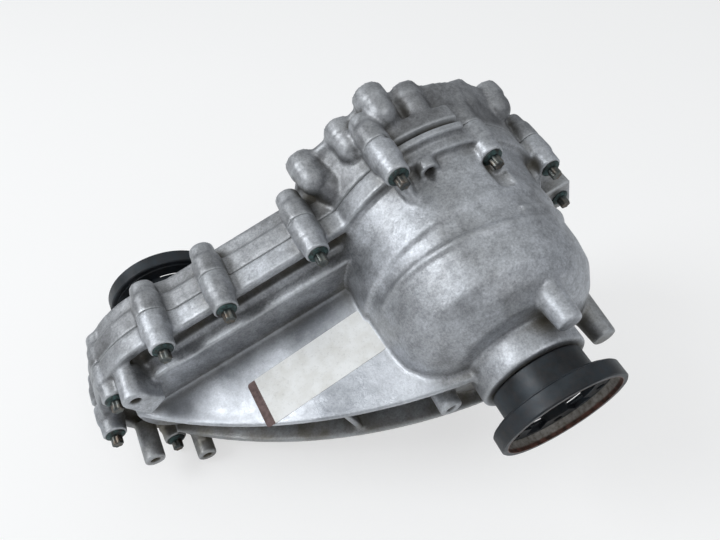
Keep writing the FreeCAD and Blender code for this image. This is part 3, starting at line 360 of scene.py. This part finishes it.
def cast_aluminium(name, light, dark, grime, wear=0.6, metallic=0.75):
    """Sand-grained casting: mottled tone, painted shade and grime in the hollows, a painted sheen on the
    label web, bright rubbed edges.
    """
    made, tree, shader = material(name)
    coords = object_coords(tree)
    across, height = casing_axes(tree, coords)
    cloud = ramp(tree, noise(tree, coords, 14, 6), [(0.34, 0.0), (0.60, 1.0)])
    tone = blended(tree, cloud, dark, light)
    blotch = ramp(tree, noise(tree, coords, 95, 6, 0.75), [(0.38, 0.45), (0.56, 1.0)])
    tone = blended(tree, 0.5, tone, blotch, "MULTIPLY")
    grain = noise(tree, coords, 520, 4, 0.75)
    speck = ramp(tree, grain, [(0.36, 0.55), (0.62, 1.0)])
    tone = blended(tree, 0.7, tone, speck, "MULTIPLY")
    # painted sheen: the up-facing label web gets a lighter, bluish tone
    above = between(tree, height, 0.0165, 0.0185)
    below = between(tree, height, 0.0225, 0.0205)
    web = maths(tree, "MULTIPLY", above, below)
    web = maths(tree, "MULTIPLY", web, between(tree, across, -0.062, -0.075))
    # lighter, bluish painted sheen for the label web
    painted_web_sheen = blended(tree, cloud, (0.30, 0.32, 0.36), light)
    tone = blended(tree, maths(tree, "MULTIPLY", web, 0.5), tone, painted_web_sheen)
    # painted shade: the hollows are darkened; grime gathers in the hollows, where it also paints shade, and
    # runs down the lower half
    shade = ramp(tree, occlusion(tree, 0.05), [(0.30, 0.42), (0.80, 1.0)])
    tone = blended(tree, 0.85, tone, shade, "MULTIPLY")
    # grime in the hollows, which also paints shade into them
    hollow = ramp(tree, occlusion(tree, 0.018), [(0.25, 1.0), (0.85, 0.0)])
    patch = ramp(tree, noise(tree, coords, 32, 5), [(0.35, 0.25), (0.62, 1.0)])
    grime_and_shade_mask = maths(tree, "MULTIPLY", hollow, patch)
    tone = blended(tree, grime_and_shade_mask, tone, grime)
    low = maths(tree, "SUBTRACT", 1.0, between(tree, height, -0.045, 0.014))
    low = maths(tree, "MULTIPLY", maths(tree, "MULTIPLY", low, patch), 0.75)
    tone = blended(tree, low, tone, grime)
    # rubbed edges
    edge = node(tree, "ShaderNodeNewGeometry").outputs["Pointiness"]
    rubbed = maths(tree, "MULTIPLY", ramp(tree, edge, [(0.505, 0.0), (0.56, 1.0)]), wear)
    tone = blended(tree, rubbed, tone, (0.62, 0.64, 0.66))
    tree.links.new(tone, shader.inputs["Base Color"])
    shader.inputs["Metallic"].default_value = metallic
    rough = ramp(tree, noise(tree, coords, 55, 4), [(0.3, 0.36), (0.7, 0.58)])
    rough = blended(tree, grime_and_shade_mask, rough, (0.85, 0.85, 0.85))
    tree.links.new(rough, shader.inputs["Roughness"])
    pits = blended(tree, 0.45, grain, noise(tree, coords, 260, 4))
    bump(tree, shader, pits, 0.35, 0.0009)
    return made


def steel(name, light, dark, rough, metallic=1.0, scale=60, bevel=0.0006, rust=None, rust_share=0.0):
    """Machined or oxidised metal with fine turned grain and optional rust in patches."""
    made, tree, shader = material(name)
    coords = object_coords(tree)
    cloud = ramp(tree, noise(tree, coords, scale, 5), [(0.34, 0.0), (0.66, 1.0)])
    tone = blended(tree, cloud, dark, light)
    grain = noise(tree, coords, 1400, 2)
    tone = blended(tree, 0.35, tone, ramp(tree, grain, [(0.3, 0.7), (0.7, 1.0)]), "MULTIPLY")
    if rust:
        patch = ramp(tree, noise(tree, coords, 120, 6, 0.7), [(0.45, 0.0), (0.62, 1.0)])
        tone = blended(tree, maths(tree, "MULTIPLY", patch, rust_share), tone, rust)
    tree.links.new(tone, shader.inputs["Base Color"])
    shader.inputs["Metallic"].default_value = metallic
    tree.links.new(ramp(tree, noise(tree, coords, scale * 2, 4), [(0.3, rough - 0.08), (0.7, rough + 0.1)]),
                   shader.inputs["Roughness"])
    bump(tree, shader, grain, 0.15, 0.0003, bevel)
    return made


def black_oxide(name):
    return steel(name, (0.034, 0.043, 0.052), (0.014, 0.017, 0.020), 0.42, metallic=0.45, scale=45,
                 rust=(0.05, 0.035, 0.03), rust_share=0.25)


def assign(piece, made):
    piece.data.materials.clear()
    piece.data.materials.append(made)


def node_material(name, made):
    """Material of a CAD node, on its object's slot."""
    piece = nodes[name]
    for slot in piece.material_slots:
        slot.link = "OBJECT"
        slot.material = made


LOOKS = {
    "rear_cast": cast_aluminium("rear_cast", (0.64, 0.66, 0.70), (0.33, 0.335, 0.345), (0.17, 0.148, 0.105)),
    "front_cast": cast_aluminium("front_cast", (0.50, 0.51, 0.53), (0.18, 0.18, 0.185), (0.12, 0.107, 0.080)),
    "bolt_steel": steel("bolt_steel", (0.20, 0.22, 0.21), (0.08, 0.085, 0.085), 0.42, scale=240,
                        rust=(0.16, 0.09, 0.05), rust_share=0.6),
    "bolt_patina": steel("bolt_patina", (0.07, 0.135, 0.13), (0.03, 0.04, 0.04), 0.5, metallic=0.6, scale=330,
                         rust=(0.035, 0.032, 0.03), rust_share=1.0),
    "flange_black": black_oxide("flange_black"),
    "rubber": steel("rubber", (0.03, 0.03, 0.032), (0.018, 0.018, 0.02), 0.7, metallic=0.0),
    "bright_steel": steel("bright_steel", (0.60, 0.60, 0.60), (0.42, 0.42, 0.43), 0.28),
    "gear_steel": steel("gear_steel", (0.42, 0.41, 0.40), (0.28, 0.27, 0.27), 0.34),
    "shaft_steel": steel("shaft_steel", (0.50, 0.49, 0.48), (0.33, 0.32, 0.31), 0.33),
    "bronze": steel("bronze", (0.55, 0.36, 0.16), (0.38, 0.24, 0.11), 0.38),
    "nut_steel": steel("nut_steel", (0.30, 0.30, 0.29), (0.16, 0.16, 0.155), 0.4, rust=(0.18, 0.09, 0.05),
                       rust_share=0.5),
}

SLOT_LOOKS = {
    "casting": "rear_cast",
    "fastener": "bolt_steel",
    "rubber_seal": "rubber",
    "bearing_steel": "bright_steel",
    "bush_bronze": "bronze",
    "gear_steel": "gear_steel",
    "shaft_steel": "shaft_steel",
    "flange_black": "flange_black",
    "nut_steel": "nut_steel",
}


def flange_look(name, centre, face, outward):
    """Black oxide with a machined bore inside the rim and a rusty lip at the face."""
    made = black_oxide(name + "_look")
    tree = made.node_tree
    shader = tree.nodes["Principled BSDF"]
    coords = object_coords(tree)
    parts = node(tree, "ShaderNodeSeparateXYZ")
    tree.links.new(coords, parts.inputs[0])
    flat = node(tree, "ShaderNodeCombineXYZ")
    tree.links.new(parts.outputs[0], flat.inputs[0])
    tree.links.new(parts.outputs[2], flat.inputs[2])
    spoke = node(tree, "ShaderNodeVectorMath", operation="DISTANCE")
    tree.links.new(flat.outputs[0], spoke.inputs[0])
    spoke.inputs[1].default_value = centre
    radius = spoke.outputs["Value"]
    behind = node(tree, "ShaderNodeMath", operation="MULTIPLY_ADD")
    tree.links.new(parts.outputs[1], behind.inputs[0])
    behind.inputs[1].default_value = outward
    behind.inputs[2].default_value = face * outward
    under_rim = between(tree, radius, 0.0508, 0.0504)
    off_drum = between(tree, radius, 0.0486, 0.0494)
    inside = maths(tree, "MULTIPLY", under_rim, off_drum)
    inside = maths(tree, "MULTIPLY", inside, between(tree, behind.outputs[0], 0.0100, 0.0092))
    lip = maths(tree, "MULTIPLY", inside, between(tree, behind.outputs[0], 0.0045, 0.0025))
    black = shader.inputs["Base Color"].links[0].from_socket
    turned = ramp(tree, noise(tree, coords, 260, 4), [(0.35, (0.22, 0.20, 0.17)), (0.65, (0.46, 0.43, 0.40))])
    rust_stops = [(0.38, (0.055, 0.030, 0.022)), (0.62, (0.17, 0.075, 0.055))]
    rust = ramp(tree, noise(tree, coords, 180, 5), rust_stops)
    tone = blended(tree, lip, blended(tree, inside, black, turned), rust)
    tree.links.new(tone, shader.inputs["Base Color"])
    return made


def shade_behind_windows(name):
    """Dark ring right behind the windows of an output flange: a guessed dust shield that stands in for the
    shade seen through the windows.
    """
    centre, face, outward = FLANGE_FACES[name]
    low, high = (face - behind * outward for behind in SHADE_RING_DEPTHS)
    inside, outside = SHADE_RING_RADII
    bm = bmesh.new()
    loops = []
    for step in range(SHADE_RING_SIDES):
        angle = 2 * math.pi * step / SHADE_RING_SIDES
        spoke = Vector((math.cos(angle), 0, math.sin(angle)))
        loops.append([bm.verts.new(centre + spoke * radius + BACKWARD * depth)
                      for radius, depth in ((inside, low), (outside, low), (outside, high), (inside, high))])
    stitched(bm, loops + loops[:1])
    mesh = finished_mesh(bm, name + "_shade_ring")
    body = next(body for body, parts in frame["record"]["behaviour"]["bodies"].items() if name in parts)
    assign(new_object(name + "_shade_ring", mesh, body), LOOKS["flange_black"])


def dress_nodes():
    """Every CAD node takes the look of its record's material slot."""
    for part in frame["record"]["subparts"]:
        look = SLOT_LOOKS[part["material_slot"]]
        node_material(part["node"], LOOKS[look])
    for name, place in FLANGE_FACES.items():
        node_material(name, flange_look(name, *place))
        shade_behind_windows(name)


# ---------------------------------------------------------------- casing
def bar(bm, start, end, first, last, sides=28):
    """Closed tapered bar between two points."""
    along = end - start
    turn = along.to_track_quat("Z", "Y").to_matrix().to_4x4()
    bmesh.ops.create_cone(bm, cap_ends=True, segments=sides, radius1=first, radius2=last, depth=along.length,
                          matrix=Matrix.Translation((start + end) / 2) @ turn)


def knob(bm, centre, radius):
    place = Matrix.Translation(centre)
    bmesh.ops.create_uvsphere(bm, u_segments=28, v_segments=16, radius=radius, matrix=place)


def bead(bm, places, radius):
    """Raised line of the casting through a row of points."""
    for start, end in zip(places, places[1:]):
        bar(bm, start, end, radius, radius, 12)
        knob(bm, start, radius)


def on_dome(radius, depth, angle):
    return case_point(radius * math.cos(math.radians(angle)), depth, radius * math.sin(math.radians(angle)))


def flange_aprons(bm):
    """Casting behind each tapped hole of the mounting flange: a domed boss half sunk in a sloping wall."""
    places = [Vector(mount["pos_m"]) for mount in frame["record"]["mounts"]
              if mount["name"].startswith("transmission_bolt")]
    for place, following in zip(places, places[1:] + places[:1]):
        out = Vector((place.x, 0, place.z)).normalized()
        knob(bm, place + BACKWARD * LOBE_BALL_DEPTH - out * LOBE_BALL_INWARD, LOBE_BALL)
        ends = [place + BACKWARD * depth - out * inward for depth, inward, _ in LOBE_ROOT]
        bar(bm, *ends, LOBE_ROOT[0][2], LOBE_ROOT[1][2])
        step = following - place
        if step.length < LOBE_SPACING:
            reach = step.normalized() * LIP_GAP
            middle = BACKWARD * LIP_RADIUS
            bar(bm, place + reach + middle, following - reach + middle, LIP_RADIUS, LIP_RADIUS)


def skirt(bm):
    """Sloping wall between the lobes of the mounting flange and the joint."""
    first, last, step = SKIRT_ARC
    loops = []
    for angle in range(first, last + 1, step):
        east, north = math.cos(math.radians(angle)), math.sin(math.radians(angle))
        loops.append([bm.verts.new(case_point(radius * MM * east, depth * MM, radius * MM * north))
                      for radius, depth in SKIRT])
    stitched(bm, loops)
    bm.faces.new(list(reversed(loops[0])))
    bm.faces.new(loops[-1])


def front_ridges(bm):
    """Straight ridges that carry the bolt bosses round the main axis forward to the flange lip."""
    flange_radius, flange_depth, flange_end = RIDGE_START
    joint_depth, joint_end = RIDGE_END
    for across, height in MAIN_BOLTS:
        share = flange_radius / math.hypot(across, height)
        bar(bm, case_point(across * share * MM, flange_depth, height * share * MM),
            case_point(across * MM, joint_depth, height * MM), flange_end, joint_end)


def rear_fins(bm):
    """Fins that run the bolt bosses round the main axis out on the dome."""
    outer, joint_depth, joint_end = FIN_START
    dome_radius, dome_depth, dome_end = FIN_END
    for across, height in MAIN_BOLTS:
        inner = dome_radius / math.hypot(across, height)
        bar(bm, case_point(across * outer * MM, joint_depth, height * outer * MM),
            case_point(across * inner * MM, dome_depth, height * inner * MM), joint_end, dome_end)


def dome_lines(bm):
    """Soft lines that the mould leaves round the dome, and the fins beside the rib boss and the vent boss."""
    for radius, depth, first, last in MOULD_LINES:
        bead(bm, [on_dome(radius, depth + MOULD_LINE_SWAY * math.sin(math.radians(2 * angle)), angle)
                  for angle in range(first, last, 5)], MOULD_LINE_RADIUS)
    for start, end, thick, thin in (RIB_FIN, VENT_FIN):
        bar(bm, case_point(*start), case_point(*end), thick, thin)


def carve_pry_slots(points):
    """Sinks the slots for a pry bar into the joint and returns the vertices in and around them."""
    place = casing_coords(points)
    touched = np.zeros(len(points), dtype=bool)
    away = np.abs(place[:, 1] - SPLIT)
    for across, first, last, outside in PRY_SLOTS:
        east, north = place[:, 0] - across, place[:, 2]
        radius = np.hypot(east, north)
        angle = np.degrees(np.arctan2(north, east)) % 360
        along = (angle > first) & (angle < last)
        touched |= along & (radius > outside - 2 * SLOT_REACH) & (away < 2 * SLOT_HALF_WIDTH)
        inside = along & (radius > outside - SLOT_REACH) & (away < SLOT_HALF_WIDTH)
        share = (1 - (away / SLOT_HALF_WIDTH) ** 4) * inside
        scale = 1 - share * SLOT_REACH / np.maximum(radius, 1e-6)
        place[:, 0] = across + east * scale
        place[:, 2] = north * scale
    points[:, 0] = place[:, 0] * math.cos(LIE) - place[:, 2] * math.sin(LIE)
    points[:, 2] = place[:, 0] * math.sin(LIE) + place[:, 2] * math.cos(LIE)
    return touched


def cast_shell(name, machined, look, extras):
    """Rounded skin of a casing half; faces on machined planes keep their edges."""
    bm = bmesh.new()
    bm.from_mesh(nodes[name].data)
    for extra in extras:
        extra(bm)
    source = bpy.data.meshes.new(name + "_source")
    bm.to_mesh(source)
    bm.free()
    mesh = remeshed(name, source, VOXEL)
    points = vertices_of(mesh)
    slotted = carve_pry_slots(points)
    set_vertices(mesh, points)
    depth = -points[:, 1]
    weight = np.full(len(depth), CAST_WEIGHT)
    for plane in machined:
        weight[np.abs(depth - plane) < MACHINED_BAND] = MACHINED_WEIGHT
    weight[slotted] = np.minimum(weight[slotted], SLOT_WEIGHT)
    relaxed(mesh, CAST_ROUNDING, weight)
    smooth_shading(mesh)
    shell = new_object(name + "_skin", mesh, "casing")
    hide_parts(name)
    assign(shell, LOOKS[look])


# ---------------------------------------------------------------- bolts
def revolve(bm, outline, centre, sides):
    """Closed turned solid: outline of (radius, depth) from tip to tip, along the depth axis."""
    rings = []
    for radius, depth in outline:
        if radius == 0:
            rings.append([bm.verts.new(centre + Vector((0, -depth, 0)))])
            continue
        rings.append([bm.verts.new(centre + Vector((radius * math.cos(2 * math.pi * step / sides), -depth,
                                                    radius * math.sin(2 * math.pi * step / sides))))
                      for step in range(sides)])
    for low, high in zip(rings, rings[1:]):
        for step in range(sides):
            after = (step + 1) % sides
            corners = [low[step % len(low)], low[after % len(low)]]
            corners += [high[after % len(high)], high[step % len(high)]]
            unique = list(dict.fromkeys(corners))
            if len(unique) > 2:
                bm.faces.new(unique)


def hexalobular(bm, centre, seat):
    """External six-lobed head with rounded lobes, a chamfered top and a shallow dish."""
    low, high = HEAD_RADII
    rings = []
    for scale, rise in HEAD_LAYERS:
        ring = []
        for step in range(HEAD_SIDES):
            angle = 2 * math.pi * step / HEAD_SIDES
            lobe = 0.5 + 0.5 * math.cos(6 * angle)
            radius = (low + (high - low) * lobe ** 0.8) * scale
            ring.append(bm.verts.new(centre + Vector((radius * math.cos(angle), -(seat + rise * MM),
                                                      radius * math.sin(angle)))))
        rings.append(ring)
    stitched(bm, rings)
    bm.faces.new(rings[-1])
    bm.faces.new(rings[0])


def bolts():
    """Flange bolts of the casing, each where its CAD solid is."""
    source = nodes["case_bolts"].data
    points = vertices_of(source)
    head = bmesh.new()
    collar = bmesh.new()
    for group in groups_of(source):
        own = points[group]
        low, high = own.min(axis=0), own.max(axis=0)
        centre = Vector(((low[0] + high[0]) / 2, 0, (low[2] + high[2]) / 2))
        tip = -high[1]
        seat = -low[1] - BOLT_TOP_TO_SEAT
        under_collar = seat + 0.2 * MM
        hexalobular(head, centre, seat + HEAD_ON_SEAT)
        revolve(collar, [(radius * MM, seat + rise * MM) for radius, rise in COLLAR], centre, COLLAR_SIDES)
        revolve(collar, [(0, tip), (3.2 * MM, tip), (4 * MM, tip + 1 * MM), (4 * MM, under_collar),
                         (0, under_collar)], centre, SHANK_SIDES)
    for bm, name, look in ((head, "case_bolt_heads", "bolt_steel"),
                           (collar, "case_bolt_collars", "bolt_patina")):
        mesh = finished_mesh(bm, name)
        smooth_shading(mesh, 35)
        piece = new_object(name, mesh, "casing")
        assign(piece, LOOKS[look])
        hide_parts("case_bolts")


# ---------------------------------------------------------------- bare label plate
def rounded_outline(corners, radii, steps=6):
    """Polygon with each corner rounded by its own radius, as (x, y) points."""
    points = []
    count = len(corners)
    for index, (corner, radius) in enumerate(zip(corners, radii)):
        here = Vector(corner)
        before = (Vector(corners[index - 1]) - here).normalized()
        after = (Vector(corners[(index + 1) % count]) - here).normalized()
        for step in range(steps + 1):
            share = step / steps
            start, end = here + before * radius, here + after * radius
            points.append(start * (1 - share) ** 2 + here * 2 * share * (1 - share) + end * share ** 2)
    return points


def thin_plate(name, corners, radii, thickness):
    """Flat plate on the label web; corners in (across, depth)."""
    outline = [point * MM for point in rounded_outline(corners, radii)]
    low, high = (WEB_TOP + height * MM for height in thickness)
    bm = bmesh.new()
    bottom = [bm.verts.new(case_point(point.x, point.y, low)) for point in outline]
    top = [bm.verts.new(case_point(point.x, point.y, high)) for point in outline]
    bm.faces.new(bottom)
    bm.faces.new(list(reversed(top)))
    stitched(bm, [bottom, top])
    return new_object(name, finished_mesh(bm, name), "casing")


def label_plate():
    """Blank label in the place of the part label, with the strip of glue beside its edge."""
    sheet = thin_plate("blank_label", *LABEL)
    strip = thin_plate("label_glue_strip", *GLUE_STRIP)
    made, tree, shader = material("label_paper")
    coords = object_coords(tree)
    tone = ramp(tree, noise(tree, coords, 60, 5), [(0.35, (0.74, 0.73, 0.70)), (0.62, (0.86, 0.86, 0.85))])
    smudge = ramp(tree, noise(tree, coords, 400, 4, 0.7), [(0.30, 0.75), (0.45, 1.0)])
    tree.links.new(blended(tree, 0.6, tone, smudge, "MULTIPLY"), shader.inputs["Base Color"])
    shader.inputs["Roughness"].default_value = 0.55
    bump(tree, shader, noise(tree, coords, 90, 3), 0.2, 0.0008)
    assign(sheet, made)
    made, tree, shader = material("label_glue")
    coords = object_coords(tree)
    tone = ramp(tree, noise(tree, coords, 260, 5), [(0.35, (0.09, 0.055, 0.05)), (0.65, (0.17, 0.11, 0.105))])
    tree.links.new(tone, shader.inputs["Base Color"])
    shader.inputs["Roughness"].default_value = 0.7
    bump(tree, shader, noise(tree, coords, 500, 3), 0.3, 0.0005)
    assign(strip, made)


# ---------------------------------------------------------------- stage
def lamp(name, direction, size, power, colour):
    light = bpy.data.lights.new(name, "AREA")
    light.shape = "DISK"
    light.size = size
    light.energy = power
    light.color = colour
    holder = bpy.data.objects.new(name, light)
    bpy.context.scene.collection.objects.link(holder)
    turn = direction.to_track_quat("Z", "Y").to_matrix().to_4x4()
    holder.matrix_world = Matrix.Translation(LAMP_AIM + direction * LAMP_DISTANCE) @ turn


def floor_and_light():
    normal = (EYE_UP * math.cos(LOOK_DOWN) + EYE_BACK * math.sin(LOOK_DOWN)).normalized()
    lowest = min(normal.dot(Vector(point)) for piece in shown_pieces() if piece.type == "MESH"
                 for point in vertices_of(piece.data)[::7])
    turn = normal.to_track_quat("Z", "Y").to_matrix().to_4x4()
    bpy.ops.mesh.primitive_plane_add(size=FLOOR_SIZE)
    floor = bpy.context.object
    floor.name = "floor"
    floor.matrix_world = Matrix.Translation(normal * lowest) @ turn
    made, tree, shader = material("studio_floor")
    coords = object_coords(tree)
    tone = ramp(tree, noise(tree, coords, 3), [(0.3, 0.975), (0.7, 0.985)])
    tree.links.new(tone, shader.inputs["Base Color"])
    shader.inputs["Roughness"].default_value = 0.9
    shader.inputs["Specular IOR Level"].default_value = 0.1
    # part of what the camera sees is plain white: a white backdrop that keeps the shadows
    glow = node(tree, "ShaderNodeEmission")
    glow.inputs["Strength"].default_value = 1.0
    blend = node(tree, "ShaderNodeMixShader")
    seen = node(tree, "ShaderNodeLightPath").outputs["Is Camera Ray"]
    tree.links.new(maths(tree, "MULTIPLY", seen, FLOOR_GLOW), blend.inputs["Fac"])
    tree.links.new(shader.outputs["BSDF"], blend.inputs[1])
    tree.links.new(glow.outputs["Emission"], blend.inputs[2])
    tree.links.new(blend.outputs["Shader"], tree.nodes["Material Output"].inputs["Surface"])
    assign(floor, made)
    floor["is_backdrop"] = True

    world = bpy.data.worlds.new("studio")
    bpy.context.scene.world = world
    world.use_nodes = True
    tree = world.node_tree
    sky = tree.nodes["Background"]
    # brighter overhead than at the horizon
    rise = node(tree, "ShaderNodeVectorMath", operation="DOT_PRODUCT")
    tree.links.new(node(tree, "ShaderNodeTexCoord").outputs["Generated"], rise.inputs[0])
    rise.inputs[1].default_value = normal
    tree.links.new(ramp(tree, rise.outputs["Value"], [(0.0, (0.30, 0.31, 0.33)), (0.55, (0.66, 0.69, 0.73)),
                                                      (0.95, (0.97, 1.0, 1.0))]), sky.inputs["Color"])
    sky.inputs["Strength"].default_value = 0.62
    for light in LAMPS:
        lamp(*light)


def camera():
    lens = bpy.data.cameras.new("camera")
    lens.lens = LENS_MM
    lens.sensor_width = SENSOR_MM
    lens.clip_start = 0.01
    holder = bpy.data.objects.new("camera", lens)
    bpy.context.scene.collection.objects.link(holder)
    turn = Matrix((EYE_RIGHT, EYE_UP, EYE_BACK)).transposed().to_4x4()
    holder.matrix_world = Matrix.Translation(EYE) @ turn
    bpy.context.scene.camera = holder
    bpy.context.scene.view_settings.view_transform = "Standard"


dress_nodes()
cast_shell("rear_case", (SPLIT, SPLIT + BOLT_SEAT_STEP), "rear_cast", (dome_lines, rear_fins))
cast_shell("front_case", (SPLIT, MOUNT_FACE), "front_cast", (flange_aprons, skirt, front_ridges))
bolts()
label_plate()
floor_and_light()
camera()
